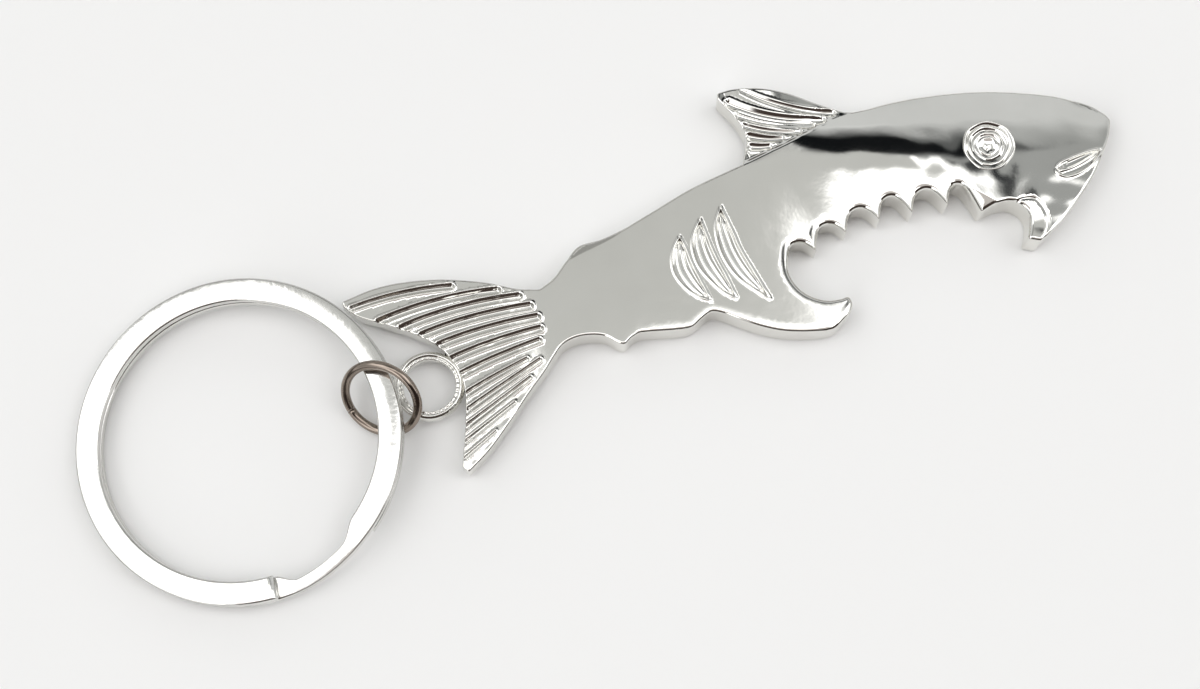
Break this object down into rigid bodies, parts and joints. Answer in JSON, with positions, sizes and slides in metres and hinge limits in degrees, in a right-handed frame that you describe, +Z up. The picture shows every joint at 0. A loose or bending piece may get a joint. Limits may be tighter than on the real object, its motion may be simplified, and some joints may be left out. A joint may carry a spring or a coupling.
{
  "type": "bottle opener key fob",
  "caption": "Shark-shaped cast metal bottle opener: the open mouth lifts a crown cap, and an eyelet at the tail carries a jump ring and a split key ring.",
  "frame": {"origin": "under the middle of the whole object's box, on the surface it lies on", "axes": "+X from the key ring to the shark's nose, +Y towards the dorsal fin, +Z up out of the face with the raised eye"},
  "size_m": [0.1104, 0.034, 0.0069],
  "materials": {
    "plated_zinc": "bright nickel plate over a zinc casting, slightly wavy, with small casting pits",
    "polished_wire": "darker polished steel wire",
    "plated_steel": "bright plated flat steel wire with a slightly rolled, mottled face"
  },
  "bodies": {
    "opener": {"shark_opener_casting": "plated_zinc"},
    "jump_ring": {"jump_ring": "polished_wire"},
    "key_ring": {"split_key_ring": "plated_steel"}
  },
  "joints": [
    {"name": "jump_ring_swing", "type": "hinge", "parent": "opener", "child": "jump_ring", "pos_m": [-0.02264, -0.00178, 0.0018], "axis": [0, 1, 0], "range_deg": [-110, 10]},
    {"name": "key_ring_swing", "type": "hinge", "parent": "jump_ring", "child": "key_ring", "pos_m": [-0.02384, -0.00067, 0.00379], "axis": [0, 1, 0], "range_deg": [-10, 100]}
  ]
}
